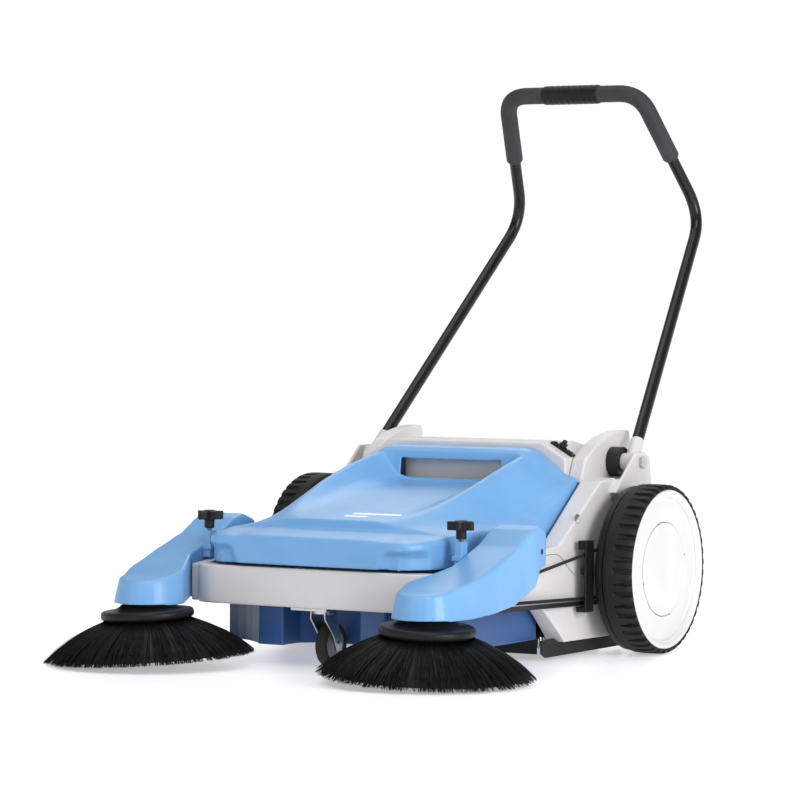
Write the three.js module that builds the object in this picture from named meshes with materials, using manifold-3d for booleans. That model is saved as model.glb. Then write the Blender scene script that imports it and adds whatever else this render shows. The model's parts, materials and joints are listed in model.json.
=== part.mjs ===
// Walk-behind sweeper: two driven side brushes, a roller brush, a lift-out hopper
// and a folding push handle.  Millimetres, +Z up, the machine drives towards -Y.
// Inside the machine group Y = 0 and Z = 0 are on the floor under the wheel axle.
import * as THREE from 'three';
import { mergeVertices } from 'three/addons/utils/BufferGeometryUtils.js';
import Module from 'manifold-3d';

const manifold = await Module();
manifold.setup();

// ---- driving dimensions -------------------------------------------------------
const FRAME_SHIFT_Y = 181.26;
const GAP = 0.3;

const WHEEL_R = 150;
const TYRE_IN_X = 320;
const TYRE_OUT_X = 377;
const DISC_R = 141;
const CAP_R = 83;
const AXLE_R = 10;
const AXLE = [0, WHEEL_R];
const SLEEVE_R = 22;

const MODULE = 2.5;
const GEAR_TEETH = 48;
const PINION_TEETH = 16;
const GEAR_X = [256, 268];
const MESH_ANGLE = THREE.MathUtils.degToRad(-163.3);

const ROLLER_R = 125;
const ROLLER_HALF = 190;
const ROLLER_CORE_R = 45;
const TUNNEL_R = 131;
const CENTRES = MODULE * (GEAR_TEETH + PINION_TEETH) / 2;
const ROLLER = [CENTRES * Math.cos(MESH_ANGLE), WHEEL_R + CENTRES * Math.sin(MESH_ANGLE)];

const PANEL_IN_X = 236;
const PANEL_OUT_X = 278;
const WALL = 4;
const SKIN = 3;

const PIVOT = [62, 335];
const HUB_X = [233, 254.5];
const TUBE_R = 11;
const GRIP_R = 16;
const HANDLE_FOOT = [271, 62, 335];
const HANDLE_ELBOW = [194, 498, 789];
const HANDLE_CORNER = [142, 336, 1016];
const ELBOW_CUT = 62;
const CORNER_CUT = 44;

const BELT_R = 3;
const BELT_X = 291;
const WHEEL_PULLEY_R = 50;
const BRUSH_PULLEY_R = 15;
const HEAD = [277, -674, 118];
const BRUSH_TILT = THREE.MathUtils.degToRad(3.4);
const BRUSH_LEAN = THREE.MathUtils.degToRad(-30);
const BRUSH_R = 181;
const HEAD_TO_TIPS = 107.3;
const BRUSH_CENTRE = [271, -671];

const KNOB = [251, -521];
const HOOD_BASE_Z = 175;
const BIN_HALF = 230;
const BIN_FLOOR_Z = 34;
const BIN_TOP_Z = 172;
const CASTER = [0, -552];
const CASTER_R = 37.5;
const CASTER_TRAIL = 28;
const CASTER_NOTCH = 76;

// ---- materials ----------------------------------------------------------------
function finish(color, roughness, metalness = 0) {
  return new THREE.MeshStandardMaterial({ color, roughness, metalness });
}
const BLUE = finish(0x4f9be0, 0.4);
const GREY = finish(0xc9c7cb, 0.5);
const DARK_GREY = finish(0x6f6f72, 0.6);
const WHITE = finish(0xf1f0f0, 0.4);
const BLACK = finish(0x1a1a1c, 0.5);
const RUBBER = finish(0x1f1e1e, 0.85);
const BRISTLE = finish(0x0d0d0d, 0.8);
const STEEL = finish(0xb9bcc0, 0.3, 1);

// ---- solids -------------------------------------------------------------------
function toSolid(geometry) {
  const plain = geometry.clone();
  plain.deleteAttribute('normal');
  plain.deleteAttribute('uv');
  const merged = mergeVertices(plain, 1e-4);
  return new manifold.Manifold(new manifold.Mesh({
    numProp: 3,
    vertProperties: new Float32Array(merged.attributes.position.array),
    triVerts: new Uint32Array(merged.index.array),
  }));
}

function toGeometry(solid) {
  const data = solid.getMesh();
  const geometry = new THREE.BufferGeometry();
  geometry.setAttribute('position', new THREE.BufferAttribute(data.vertProperties, 3));
  geometry.setIndex(new THREE.BufferAttribute(data.triVerts, 1));
  geometry.computeVertexNormals();
  return geometry;
}

function outline(points, holes = []) {
  const shape = new THREE.Shape(points.map(([u, v]) => new THREE.Vector2(u, v)));
  for (const [u, v, r] of holes) {
    shape.holes.push(new THREE.Path().absarc(u, v, r, 0, Math.PI * 2));
  }
  return shape;
}

function extrude(shape, depth, segments = 8) {
  return new THREE.ExtrudeGeometry(shape, { depth, bevelEnabled: false, curveSegments: segments });
}

// Outline in Y and Z, pushed out along X.
function alongX(points, x0, x1, holes) {
  const basis = new THREE.Matrix4().makeBasis(
    new THREE.Vector3(0, 1, 0), new THREE.Vector3(0, 0, 1), new THREE.Vector3(1, 0, 0));
  return toSolid(extrude(outline(points, holes), x1 - x0).applyMatrix4(basis).translate(x0, 0, 0));
}

// Outline in X and Z, pushed out along Y.
function alongY(points, y0, y1) {
  const basis = new THREE.Matrix4().makeBasis(
    new THREE.Vector3(1, 0, 0), new THREE.Vector3(0, 0, 1), new THREE.Vector3(0, -1, 0));
  return toSolid(extrude(outline(points), y1 - y0).applyMatrix4(basis).translate(0, y1, 0));
}

// Outline in X and Y, pushed out along Z.
function alongZ(points, z0, z1, holes) {
  return toSolid(extrude(outline(points, holes), z1 - z0).translate(0, 0, z0));
}

function block(x0, x1, y0, y1, z0, z1) {
  const box = new THREE.BoxGeometry(x1 - x0, y1 - y0, z1 - z0);
  return toSolid(box.translate((x0 + x1) / 2, (y0 + y1) / 2, (z0 + z1) / 2));
}

// Turned ring or disc: a closed profile of [radius, distance along the axis].
function turned(profile, sides) {
  const ring = [...profile, profile[0]].map(([r, a]) => new THREE.Vector2(r, a));
  const geometry = new THREE.LatheGeometry(ring, sides);
  return geometry;
}

function outward(geometry) {
  const solid = toSolid(geometry);
  if (solid.volume() > 0) return solid;
  const flipped = geometry.clone();
  const index = Array.from(flipped.index.array);
  for (let i = 0; i < index.length; i += 3) {
    [index[i], index[i + 1]] = [index[i + 1], index[i]];
  }
  flipped.setIndex(index);
  return toSolid(flipped);
}

function turnedX(profile, sides, y = 0, z = 0) {
  return outward(turned(profile, sides).rotateZ(-Math.PI / 2).translate(0, y, z));
}

function turnedZ(profile, sides, x = 0, y = 0) {
  return outward(turned(profile, sides).rotateX(Math.PI / 2).translate(x, y, 0));
}

function ringProfile(r0, r1, a0, a1) {
  return [[r0, a0], [r1, a0], [r1, a1], [r0, a1]];
}

function rodX(r, x0, x1, [y, z], sides = 16) {
  const rod = new THREE.CylinderGeometry(r, r, x1 - x0, sides);
  return toSolid(rod.rotateZ(Math.PI / 2).translate((x0 + x1) / 2, y, z));
}

function rodZ(r, z0, z1, [x, y], sides = 16) {
  const rod = new THREE.CylinderGeometry(r, r, z1 - z0, sides);
  return toSolid(rod.rotateX(Math.PI / 2).translate(x, y, (z0 + z1) / 2));
}

// Solid between closed loops of equal length, each end closed by a fan about `hub`.
function loft(loops, hubHeight) {
  const size = loops[0].length;
  const ends = [loops[0][0].y, loops[loops.length - 1][0].y];
  const hubs = ends.map((y) => new THREE.Vector3(0, y, hubHeight));
  const positions = [...loops.flat(), ...hubs].flatMap((p) => [p.x, p.y, p.z]);
  const last = (loops.length - 1) * size;
  const firstHub = loops.length * size;
  const index = [];
  for (let i = 0; i < size; i += 1) {
    const next = (i + 1) % size;
    index.push(firstHub, i, next, firstHub + 1, last + next, last + i);
    for (let row = 0; row < last; row += size) {
      index.push(row + i, row + i + size, row + next, row + next, row + i + size, row + next + size);
    }
  }
  const geometry = new THREE.BufferGeometry();
  geometry.setAttribute('position', new THREE.Float32BufferAttribute(positions, 3));
  geometry.setIndex(index);
  return outward(geometry);
}

// Arc of points about a centre, angles in degrees.
function arc(cu, cv, r, from, to, steps) {
  return Array.from({ length: steps + 1 }, (_, i) => {
    const angle = THREE.MathUtils.degToRad(from + (to - from) * i / steps);
    return [cu + r * Math.cos(angle), cv + r * Math.sin(angle)];
  });
}

// A path that is sampled exactly at its own points.
class PointPath extends THREE.Curve {
  constructor(points) {
    super();
    this.points = points;
  }

  getPoint(t, target = new THREE.Vector3()) {
    const place = t * (this.points.length - 1);
    const i = Math.min(Math.floor(place), this.points.length - 2);
    return target.lerpVectors(this.points[i], this.points[i + 1], place - i);
  }

  getPointAt(t, target) {
    return this.getPoint(t, target);
  }

  getTangentAt(t, target = new THREE.Vector3()) {
    const i = Math.round(t * (this.points.length - 1));
    const before = this.points[Math.max(i - 1, 0)];
    const after = this.points[Math.min(i + 1, this.points.length - 1)];
    return target.subVectors(after, before).normalize();
  }
}

// Points along straight legs whose corners are rounded, starting `cut` before a corner.
function roundedLegs(corners, cuts, steps = 5) {
  const points = [corners[0]];
  for (let i = 1; i < corners.length - 1; i += 1) {
    const entry = corners[i].clone().add(
      corners[i - 1].clone().sub(corners[i]).setLength(cuts[i - 1]));
    const leave = corners[i].clone().add(
      corners[i + 1].clone().sub(corners[i]).setLength(cuts[i - 1]));
    const bend = new THREE.QuadraticBezierCurve3(entry, corners[i], leave);
    points.push(...bend.getPoints(steps));
  }
  points.push(corners[corners.length - 1]);
  return points;
}

function pipe(points, outer, inner, sides) {
  const section = new THREE.Shape().absarc(0, 0, outer, 0, Math.PI * 2);
  if (inner > 0) section.holes.push(new THREE.Path().absarc(0, 0, inner, 0, Math.PI * 2));
  return outward(mergeVertices(new THREE.ExtrudeGeometry(section, {
    extrudePath: new PointPath(points), steps: points.length - 1, curveSegments: sides,
  })));
}

// Endless round belt through a ring of points.
function beltLoop(points, radius, sides) {
  const count = points.length;
  const tangents = points.map((p, i) => points[(i + 1) % count].clone()
    .sub(points[(i + count - 1) % count]).normalize());
  const normals = [new THREE.Vector3(1, 0, 0)];
  for (let i = 1; i <= count; i += 1) {
    const turn = new THREE.Quaternion().setFromUnitVectors(tangents[i - 1], tangents[i % count]);
    normals.push(normals[i - 1].clone().applyQuaternion(turn));
  }
  const side = new THREE.Vector3().crossVectors(tangents[0], normals[0]);
  const twist = Math.atan2(normals[count].dot(side), normals[count].dot(normals[0]));
  const positions = [];
  for (let i = 0; i < count; i += 1) {
    const binormal = new THREE.Vector3().crossVectors(tangents[i], normals[i]);
    for (let k = 0; k < sides; k += 1) {
      const angle = 2 * Math.PI * k / sides - twist * i / count;
      const offset = normals[i].clone().multiplyScalar(Math.cos(angle) * radius)
        .addScaledVector(binormal, Math.sin(angle) * radius);
      positions.push(...points[i].clone().add(offset).toArray());
    }
  }
  const index = [];
  for (let i = 0; i < count; i += 1) {
    for (let k = 0; k < sides; k += 1) {
      const a = i * sides + k;
      const b = i * sides + (k + 1) % sides;
      const c = ((i + 1) % count) * sides + k;
      const d = ((i + 1) % count) * sides + (k + 1) % sides;
      index.push(a, b, c, b, d, c);
    }
  }
  const geometry = new THREE.BufferGeometry();
  geometry.setAttribute('position', new THREE.Float32BufferAttribute(positions, 3));
  geometry.setIndex(index);
  return outward(geometry);
}

// Spur gear as an extrusion along X, with one tooth pointing along `aim`.
function spurGear(teeth, aim, [y, z], bore) {
  const pitch = MODULE * teeth / 2;
  const step = 2 * Math.PI / teeth;
  const corners = [[-0.34, -1.2], [-0.15, 0.8], [0.15, 0.8], [0.34, -1.2]];
  const points = [];
  for (let i = 0; i < teeth; i += 1) {
    for (const [turn, height] of corners) {
      const angle = aim + (i + turn) * step;
      const r = pitch + height * MODULE;
      points.push([y + r * Math.cos(angle), z + r * Math.sin(angle)]);
    }
  }
  return alongX(points, GEAR_X[0], GEAR_X[1], [[y, z, bore]]);
}

// ---- scene graph --------------------------------------------------------------
const sweeper = new THREE.Group();
const machine = new THREE.Group();
machine.position.y = FRAME_SHIFT_Y;
sweeper.add(machine);
const sides = [
  { name: 'left', mirror: 1 },
  { name: 'right', mirror: -1 },
];

function add(parent, name, solid, material) {
  const mesh = new THREE.Mesh(toGeometry(solid), material);
  mesh.name = name;
  parent.add(mesh);
  return mesh;
}

// ---- chassis ------------------------------------------------------------------
const PANEL_OUTLINE = [
  [-575, 105], [-262, 93], [-235, 70], [-207, 45], [-192, 30], [60, 30], [95, 60], [120, 150],
  [110, 300], [96, 344], [78, 353], [40, 353], [-14, 310], [-68, 306], [-213, 199], [-575, 168],
];
const PANEL_INSIDE = [
  [-571, 109], [-262.5, 97.5], [-232, 74], [-204, 49.5], [-190, 34.5], [58, 34], [91, 62],
  [116, 150], [106, 298], [-16, 302], [-67, 300], [-211.5, 193], [-571, 164],
];
const PANEL_PLAN = [
  [PANEL_IN_X, -575], [252, -575], [257, -345], [272, -200], [PANEL_OUT_X, -60],
  [PANEL_OUT_X, 130], [PANEL_IN_X, 130],
];
const PANEL_HOLLOW_PLAN = PANEL_PLAN.map(([x, y]) => [x > PANEL_IN_X ? x - WALL : x - 10, y]);
const EAR = [[-40, 285], [40, 353], [78, 353], [96, 344], [110, 270], [60, 245]];
const FIN = [
  [-60, 300], [-40, 342], [0, 366], [40, 380], [90, 389], [130, 390], [135, 370], [110, 300],
];
const EAR_X = [284.5, 291];
const FIN_X = [205, 232];
const POCKET_Z = [302, 306];
const BOLT_R = 6;

function sidePanel() {
  const body = alongX(PANEL_OUTLINE, PANEL_IN_X, PANEL_OUT_X + 2).intersect(alongZ(PANEL_PLAN, 0, 400));
  const hollow = alongX(PANEL_INSIDE, PANEL_IN_X - 10, PANEL_OUT_X)
    .intersect(alongZ(PANEL_HOLLOW_PLAN, 0, 400));
  const pocket = block(FIN_X[1] + GAP, EAR_X[0], -14, 140, POCKET_Z[1], 400);
  const floor = block(FIN_X[0], PANEL_OUT_X - 1, -50, 106, POCKET_Z[0], POCKET_Z[1]);
  const boss = rodX(16, GEAR_X[1] + 0.5, PANEL_OUT_X - 1, ROLLER);
  return body.subtract(hollow).add(alongX(EAR, PANEL_OUT_X - WALL, EAR_X[1]))
    .subtract(pocket).add(floor).add(boss)
    .add(alongX(FIN, FIN_X[0], FIN_X[1]))
    .subtract(rodX(SLEEVE_R + 5, 268, 290, AXLE, 28))
    .subtract(rodX(8 + GAP, 260, 274, ROLLER))
    .subtract(rodX(BOLT_R + GAP, 200, 300, PIVOT, 16));
}

function sideSkirt() {
  return alongX([[-255, 14], [-240, 6], [45, 6], [45, 29.5], [-194, 29.5], [-212, 38], [-255, 36]], 258, 262);
}

function frontBar() {
  const corner = 60;
  const plan = [
    ...arc(190, -540, corner, 0, -90, 8), ...arc(-190, -540, corner, -90, -180, 8),
  ];
  const behind = block(-PANEL_IN_X, PANEL_IN_X, -560, -500, 90, 180);
  const panelEnds = block(-260, 260, -575 - GAP, -500, 90, 180)
    .subtract(block(-PANEL_IN_X + GAP, PANEL_IN_X - GAP, -580, -500, 80, 190));
  return alongZ(plan, 104, 170).subtract(behind).subtract(panelEnds);
}

const HOUSING = [
  [-65, 95], [84, 95], [116, 150], [124, 255], [108, 345], [60, 371], [-65, 371],
];
const HOUSING_INSIDE = [
  [-61, 60], [60, 60], [80, 98], [112, 151], [120, 254], [104.5, 342], [59, 367], [-61, 367],
];
const SHOULDERS = [[-204, 60], [204, 60], [204, 343], [155, 371], [-155, 371], [-204, 343]];
const SHOULDERS_INSIDE = [[-200, 50], [200, 50], [200, 340.7], [153.8, 367], [-153.8, 367], [-200, 340.7]];

function rearHousing() {
  const outer = alongX(HOUSING, -204, 204).intersect(alongY(SHOULDERS, -65, 130));
  const inner = alongX(HOUSING_INSIDE, -200, 200).intersect(alongY(SHOULDERS_INSIDE, -64, 130));
  const slotBacking = block(-112, 112, -92, -62, 290, 348);
  return outer.subtract(inner).add(slotBacking)
    .subtract(rodX(TUNNEL_R + 5, -199.5, 199.5, ROLLER, 32))
    .subtract(rodX(AXLE_R + GAP, 190, 210, AXLE))
    .subtract(rodX(AXLE_R + GAP, -210, -190, AXLE));
}

function rollerTunnel() {
  const [y, z] = ROLLER;
  return alongX([...arc(y, z, TUNNEL_R + 3, -28, 125, 12), ...arc(y, z, TUNNEL_R, 125, -28, 12)], -199, 199);
}

function buildChassis() {
  add(machine, 'front_bar', frontBar(), GREY);
  add(machine, 'rear_housing', rearHousing(), GREY);
  add(machine, 'roller_tunnel', rollerTunnel(), DARK_GREY);
  add(machine, 'front_lip', block(-228, 228, -213.5, -210, 8, 40), RUBBER);
  add(machine, 'rear_skirt', block(-198, 198, 76, 79.5, 8, 94.7), RUBBER);
  add(machine, 'caster_plate', block(-35, 35, -597, -530, 99.5, 103.7), STEEL);
  for (const { name, mirror } of sides) {
    const group = new THREE.Group();
    group.scale.x = mirror;
    machine.add(group);
    add(group, `side_panel_${name}`, sidePanel(), GREY);
    add(group, `side_skirt_${name}`, sideSkirt(), RUBBER);
    add(group, `axle_${name}`, rodX(AXLE_R, 200.5, 352, AXLE), STEEL);
    const head = rodX(11, EAR_X[1] + GAP, EAR_X[1] + 6, PIVOT, 6);
    add(group, `handle_bolt_${name}`, rodX(BOLT_R, 206, EAR_X[1] + 4, PIVOT, 16).add(head), STEEL);
  }
}

// ---- hopper and hood ----------------------------------------------------------
// Hood stations from front to back: y, floor height, ridge x, ridge height, edge height, half width.
const HOOD_STATIONS = [
  [-606, 216, 118, 216, 213, 180],
  [-600, 223, 130, 223, 219, 195],
  [-575, 227, 140, 227, 222, 214],
  [-518, 233, 130, 233, 227, 222],
  [-508, 249, 120, 244, 229, 222],
  [-407, 265, 144, 273, 234, 222],
  [-297, 283, 154, 309, 236, 224],
  [-205, 291, 152, 336, 257, 230],
  [-124, 299, 144, 353, 293, 231],
  [-118, 351, 143, 355, 295, 231],
  [-104, 361, 142, 361, 300, 231],
  [-67, 362, 140, 362, 312, 231],
];
const RECESS_WALL = 36;
const BAND_WIDTH = 24;
const GRIP_SLOT = [98, 306, 336];

function hoodSection(station, drop, base) {
  const [y, floorZ, ridgeX, ridgeZ, edgeZ, halfWidth] = station;
  const edgeX = halfWidth - drop;
  const half = [
    [0, floorZ], [ridgeX - RECESS_WALL, floorZ], [ridgeX - 6, ridgeZ - 1], [ridgeX + 6, ridgeZ - 2],
    [(ridgeX + edgeX - BAND_WIDTH) / 2 + 3, edgeZ + (ridgeZ - edgeZ) * 0.52],
    [edgeX - BAND_WIDTH, edgeZ + 2], [edgeX - 3, edgeZ], [edgeX, edgeZ - 4],
  ];
  const right = half.map(([x, z]) => new THREE.Vector3(x, y, z - drop));
  const left = half.slice(1).reverse().map(([x, z]) => new THREE.Vector3(-x, y, z - drop));
  return [
    new THREE.Vector3(-edgeX, y, base), ...left, ...right, new THREE.Vector3(edgeX, y, base),
  ];
}

function hood() {
  const outer = loft(HOOD_STATIONS.map((s) => hoodSection(s, 0, HOOD_BASE_Z)), HOOD_BASE_Z + 4);
  const moved = HOOD_STATIONS.map(([y, ...rest], i) => [
    i === HOOD_STATIONS.length - 1 ? y + 8 : y + SKIN, ...rest]);
  const inner = loft(moved.map((s) => hoodSection(s, SKIN, HOOD_BASE_Z - 10)), HOOD_BASE_Z);
  const [slotX, slotZ0, slotZ1] = GRIP_SLOT;
  return outer.subtract(inner).subtract(block(-slotX, slotX, -129, -110, slotZ0, slotZ1));
}

// Plan of the hopper: notched for the swinging caster and cut back clear of both side brushes.
function binPlan(inset) {
  const notch = CASTER_NOTCH + inset;
  const corner = notch - 26;
  const sweep = BRUSH_R + 5 + inset;
  const front = -556 + inset;
  const side = BIN_HALF - inset;
  const angle = (sine) => THREE.MathUtils.radToDeg(Math.asin(sine));
  const [brushX, brushY] = BRUSH_CENTRE;
  const start = angle((brushX - side) / sweep);
  const end = angle((front - brushY) / sweep);
  return [
    [side, -217 - inset], [-side, -217 - inset],
    ...arc(-brushX, brushY, sweep, 90 - start, end, 5),
    [-notch, front], [-notch, CASTER[1] + corner], [-corner, CASTER[1] + notch],
    [corner, CASTER[1] + notch], [notch, CASTER[1] + corner], [notch, front],
    ...arc(brushX, brushY, sweep, 180 - end, 90 + start, 5),
  ];
}

function hopper() {
  const mouth = block(-215, 215, -225, -210, 62, BIN_TOP_Z + 1);
  return alongZ(binPlan(0), BIN_FLOOR_Z, BIN_TOP_Z)
    .subtract(alongZ(binPlan(SKIN), BIN_FLOOR_Z + SKIN, BIN_TOP_Z + 1))
    .subtract(mouth);
}

function buildHopper() {
  add(machine, 'hood', hood(), BLUE);
  add(machine, 'hopper', hopper(), BLUE);
}

// ---- roller and its drive -----------------------------------------------------
function buildRoller() {
  const [y, z] = ROLLER;
  const shaft = rodX(8, -273, 273, ROLLER);
  const core = rodX(ROLLER_CORE_R, -ROLLER_HALF - 4, ROLLER_HALF + 4, ROLLER, 28);
  const bristles = turnedX(
    ringProfile(ROLLER_CORE_R + 3 * GAP, ROLLER_R, -ROLLER_HALF, ROLLER_HALF), 28, y, z);
  add(machine, 'roller_core', shaft.add(core), DARK_GREY);
  add(machine, 'roller_bristles', bristles, BRISTLE);
  const back = MESH_ANGLE + Math.PI + Math.PI / PINION_TEETH;
  add(machine, 'roller_pinion', spurGear(PINION_TEETH, back, ROLLER, 8 + GAP), WHITE);
  add(machine, 'drive_gear', spurGear(GEAR_TEETH, MESH_ANGLE, AXLE, SLEEVE_R + 3 * GAP), WHITE);
}

// ---- wheels -------------------------------------------------------------------
function tyre() {
  return turnedX([
    [128, TYRE_IN_X], [144, TYRE_IN_X], [WHEEL_R, 326], [WHEEL_R, 371], [146, TYRE_OUT_X],
    [141.5, TYRE_OUT_X], [141.5, 370], [128, 370],
  ], 32, 0, WHEEL_R);
}

function wheelRim() {
  return turnedX([
    [AXLE_R + GAP, 340], [120, 340], [127.5, 326], [127.5, 370.4], [DISC_R, 370.4], [DISC_R, 376],
    [136, 376.5], [126, 366], [CAP_R + 2 * GAP, 369], [CAP_R + 2 * GAP, 362], [AXLE_R + GAP, 362],
  ], 32, 0, WHEEL_R);
}

function hubCap() {
  return turnedX([[0, 362.3], [CAP_R, 362.3], [CAP_R, 369], [60, 370.5], [0, 372]], 32, 0, WHEEL_R);
}

function wheelDrum() {
  const belt = WHEEL_PULLEY_R - BELT_R - 3 * GAP;
  return turnedX([
    [AXLE_R + GAP, 256], [SLEEVE_R, 256], [SLEEVE_R, 283.6], [55, 284], [55, 286.4], [belt, 288],
    [belt, 294], [55, 295.6], [55, 298], [30, 298], [30, 303], [140, 303], [146, 308], [146, 319.7],
    [142, 319.7], [142, 309], [30, 309], [30, 339.7], [AXLE_R + GAP, 339.7],
  ], 20, 0, WHEEL_R);
}

// ---- side brush arms ----------------------------------------------------------
const COVER_SIDE = [
  [-760, 104], [-631, 103], [-571, 107], [-493, 116], [-415, 143], [-392, 170], [-352, 176],
  [-346, 205], [-366, 234], [-400, 246], [-432, 240], [-480, 214], [-593, 176], [-680, 152], [-760, 142],
];
const COVER_CAVITY = [
  [-760, 80], [-380, 80], [-349, 160], [-349, 204], [-368, 231], [-401, 243], [-431, 237],
  [-479, 211], [-593, 173], [-680, 149], [-760, 139],
];
const NOSE_R = 59;

function coverPlan(inset) {
  const r = NOSE_R - inset;
  return [
    [258 + inset, -346 - inset], [258 + inset, -566], [HEAD[0] - 3 - r + 2, -650],
    ...arc(HEAD[0] - 3, HEAD[1], r, 180, 360, 12),
    [341 - inset, -560], [337 - inset, -420], [328 - inset, -366], [312, -346 - inset],
  ];
}

function armCover() {
  const shell = alongX(COVER_SIDE, 190, 350).intersect(alongZ(coverPlan(0), 50, 260));
  const cavity = alongX(COVER_CAVITY, 190, 350).intersect(alongZ(coverPlan(SKIN), 50, 260));
  return shell.subtract(cavity);
}

function armFrame() {
  const bar = alongX([
    [-6, 108], [-44, 88.7], [-440, 99.2], [-510, 128], [-560, 137], [-690, 137],
    [-690, 143], [-560, 146], [-505, 142], [-440, 107.2], [-44, 96.7], [-6, 122],
  ], 279.3, 283);
  const ring = rodX(40, 279.3, 283, AXLE, 28);
  const boss = rodZ(12, 128.5, 142, HEAD, 20);
  return bar.add(ring).add(boss)
    .subtract(rodX(SLEEVE_R + 1, 270, 290, AXLE, 28))
    .subtract(rodZ(6.8, 120, 150, HEAD, 14));
}

function beltRoute() {
  const around = arc(...AXLE, WHEEL_PULLEY_R, 97, -92, 14)
    .map(([y, z]) => new THREE.Vector3(BELT_X, y, z));
  const brush = arc(HEAD[0], HEAD[1], BRUSH_PULLEY_R, 180, 360, 8)
    .map(([x, y]) => new THREE.Vector3(x, y, HEAD[2]));
  const midLow = new THREE.Vector3().lerpVectors(around[14], brush[0], 0.5);
  const midHigh = new THREE.Vector3().lerpVectors(brush[8], around[0], 0.5);
  return [...around, midLow, ...brush, midHigh];
}

function beltGuide() {
  return block(295, 299, -165, -135, 81, 206)
    .add(block(283, 299, -165, -135, 190, 206))
    .add(block(279.3, 299, -165, -135, 81, 90.5))
    .add(block(283 + GAP, 299, -155, -145, 146, 157));
}

function liftPost() {
  const [x, y] = KNOB;
  const post = alongZ([[x - 8, y - 10], [x + 6.7, y - 10], [x + 6.7, y + 10], [x - 8, y + 10]],
    176, 222, [[x, y, 4 + GAP]]);
  const collar = block(x - 11, x + 6.7, y - 12, y + 12, 190, 198).subtract(rodZ(4 + GAP, 180, 210, KNOB));
  return post.add(collar);
}

function starKnob() {
  const [x, y] = KNOB;
  const lobes = 5;
  const points = Array.from({ length: lobes * 6 }, (_, i) => {
    const angle = i * Math.PI * 2 / (lobes * 6);
    const r = 18.5 + 6 * Math.cos(lobes * angle);
    return [x + r * Math.cos(angle), y + r * Math.sin(angle)];
  });
  return alongZ(points, 241, 256).add(rodZ(9, 226, 241.5, KNOB)).add(rodZ(4, 176, 230, KNOB, 14));
}

function brushPulley() {
  return turnedZ([
    [0, -14], [5, -14], [5, -7], [18, -7], [18, -5.8], [BRUSH_PULLEY_R - BELT_R - GAP, -5],
    [BRUSH_PULLEY_R - BELT_R - GAP, 5.2], [18, 6], [18, 7.6], [5, 7.6], [5, 20], [0, 20],
  ], 14);
}

function brushHub() {
  return turnedZ([
    [0, -36], [50, -36], [56, -40], [74, -40], [79, -37], [80, -30], [77, -24], [66, -23],
    [53, -20.5], [40, -12], [36, -9], [5 + GAP, -9], [5 + GAP, -14 - GAP], [0, -14 - GAP],
  ], 20);
}

function brushBristles() {
  return turnedZ([
    [56, -40.5], [73, -40.5], [104, -53], [146, -77], [172, -98], [BRUSH_R, -HEAD_TO_TIPS + 3],
    [176, -HEAD_TO_TIPS], [120, -84], [70, -56], [52, -44],
  ], 24);
}

function buildSides() {
  for (const { name, mirror } of sides) {
    const side = new THREE.Group();
    side.scale.x = mirror;
    machine.add(side);
    add(side, `tyre_${name}`, tyre(), RUBBER);
    add(side, `wheel_rim_${name}`, wheelRim(), WHITE);
    add(side, `hub_cap_${name}`, hubCap(), WHITE);
    add(side, `wheel_drum_${name}`, wheelDrum(), BLACK);
    add(side, `arm_cover_${name}`, armCover(), BLUE);
    add(side, `arm_frame_${name}`, armFrame(), BLACK);
    add(side, `drive_belt_${name}`, beltLoop(beltRoute(), BELT_R, 8), RUBBER);
    add(side, `belt_guide_${name}`, beltGuide(), BLACK);
    add(side, `lift_post_${name}`, liftPost(), BLUE);
    add(side, `star_knob_${name}`, starKnob(), BLACK);
    const head = new THREE.Group();
    head.position.set(...HEAD);
    const axis = new THREE.Vector3(
      Math.sin(BRUSH_TILT) * Math.cos(BRUSH_LEAN), Math.sin(BRUSH_TILT) * Math.sin(BRUSH_LEAN),
      Math.cos(BRUSH_TILT));
    head.quaternion.setFromUnitVectors(new THREE.Vector3(0, 0, 1), axis);
    side.add(head);
    add(head, `brush_pulley_${name}`, brushPulley(), STEEL);
    add(head, `brush_hub_${name}`, brushHub(), BLACK);
    add(head, `brush_bristles_${name}`, brushBristles(), BRISTLE);
  }
}

// ---- push handle --------------------------------------------------------------
function handleCorners() {
  const mirror = ([x, y, z]) => new THREE.Vector3(-x, y, z);
  const foot = new THREE.Vector3(...HANDLE_FOOT);
  const elbow = new THREE.Vector3(...HANDLE_ELBOW);
  const start = foot.clone().lerp(elbow, 24 / foot.distanceTo(elbow));
  const corner = new THREE.Vector3(...HANDLE_CORNER);
  return [
    start, elbow, corner, mirror(HANDLE_CORNER), mirror(HANDLE_ELBOW), mirror(start.toArray()),
  ];
}

function handleGripPoints() {
  const corner = new THREE.Vector3(...HANDLE_CORNER);
  const elbow = new THREE.Vector3(...HANDLE_ELBOW);
  const end = corner.clone().lerp(elbow, 150 / corner.distanceTo(elbow));
  const mirror = (p) => new THREE.Vector3(-p.x, p.y, p.z);
  return roundedLegs([end, corner, mirror(corner), mirror(end)], [CORNER_CUT, CORNER_CUT]);
}

function handleSocket() {
  const foot = new THREE.Vector3(...HANDLE_FOOT);
  const elbow = new THREE.Vector3(...HANDLE_ELBOW);
  const reach = elbow.clone().sub(foot).normalize();
  const from = foot.clone().addScaledVector(reach, -2);
  const seat = foot.clone().addScaledVector(reach, 23);
  const mouth = foot.clone().addScaledVector(reach, 52);
  const sleeve = pipe([from, mouth], TUBE_R + 1.7, 0, 10);
  const bore = pipe([seat, mouth.clone().addScaledVector(reach, 2)], TUBE_R + GAP, 0, 10);
  return sleeve.add(rodX(16, HUB_X[1] + GAP, EAR_X[0] - GAP, PIVOT, 20)).subtract(bore)
    .subtract(rodX(BOLT_R + GAP, 200, 300, PIVOT, 16));
}

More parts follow.
